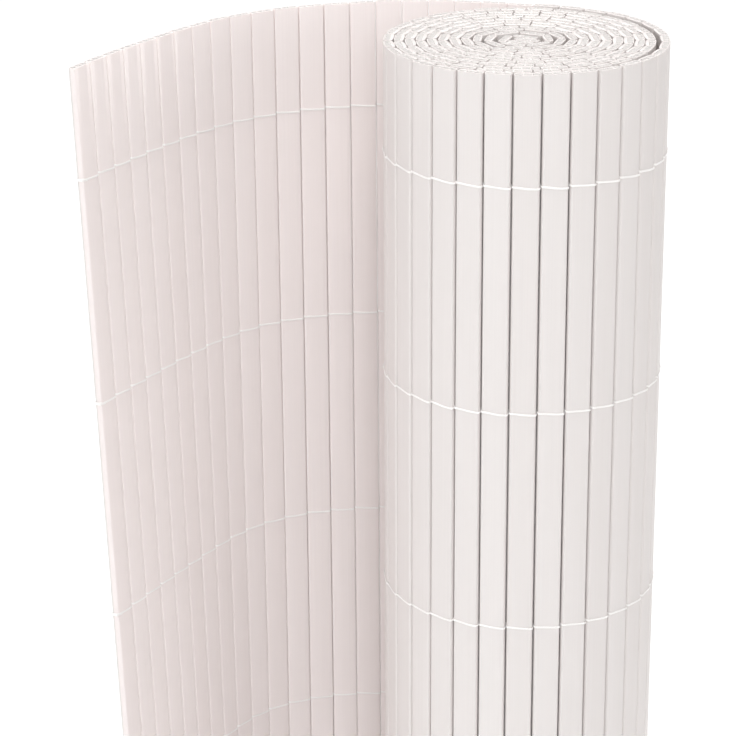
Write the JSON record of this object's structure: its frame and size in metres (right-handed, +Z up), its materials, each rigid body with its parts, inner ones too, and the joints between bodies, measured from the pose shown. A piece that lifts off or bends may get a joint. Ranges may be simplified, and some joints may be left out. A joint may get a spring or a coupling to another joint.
{
  "type": "pvc privacy screen",
  "caption": "Rolled privacy screen of hollow white plastic slats laced side by side with rows of twined thread, standing on end, its outer end open as a curved leaf.",
  "frame": {"origin": "on the floor under the middle of the whole object's bounding box, roll and leaf together", "axes": "Z up along the slats; X to the right, from the open leaf towards the roll; Y to the back, so the roll's laced front and the leaf's hollow side face -Y"},
  "size_m": [0.2834, 0.1633, 0.9],
  "materials": {
    "slat": "white extruded PVC with a satin sheen and fine lines along the slat",
    "thread": "white twined synthetic yarn"
  },
  "bodies": {
    "root": {"roll_turn_01": "slat", "roll_turn_02": "slat", "roll_turn_03": "slat", "roll_turn_04": "slat", "roll_turn_05": "slat", "roll_turn_06": "slat", "roll_turn_07": "slat", "roll_turn_08": "slat", "roll_turn_09": "slat", "roll_turn_10": "slat", "roll_turn_11": "slat", "roll_turn_12": "slat", "leaf_slat_01": "slat", "leaf_slat_02": "slat", "leaf_slat_03": "slat", "leaf_slat_04": "slat", "leaf_slat_05": "slat", "leaf_slat_06": "slat", "leaf_slat_07": "slat", "leaf_slat_08": "slat", "leaf_slat_09": "slat", "leaf_slat_10": "slat", "leaf_slat_11": "slat", "leaf_slat_12": "slat", "leaf_slat_13": "slat", "leaf_slat_14": "slat", "leaf_slat_15": "slat", "leaf_slat_16": "slat", "leaf_slat_17": "slat", "leaf_slat_18": "slat", "leaf_slat_19": "slat", "leaf_slat_20": "slat", "leaf_slat_21": "slat", "thread_row_1_strand_a": "thread", "thread_row_1_strand_b": "thread", "thread_row_2_strand_a": "thread", "thread_row_2_strand_b": "thread", "thread_row_3_strand_a": "thread", "thread_row_3_strand_b": "thread", "thread_row_4_strand_a": "thread", "thread_row_4_strand_b": "thread", "thread_row_5_strand_a": "thread", "thread_row_5_strand_b": "thread", "thread_row_6_strand_a": "thread", "thread_row_6_strand_b": "thread", "thread_row_7_strand_a": "thread", "thread_row_7_strand_b": "thread", "thread_row_8_strand_a": "thread", "thread_row_8_strand_b": "thread"}
  },
  "joints": []
}
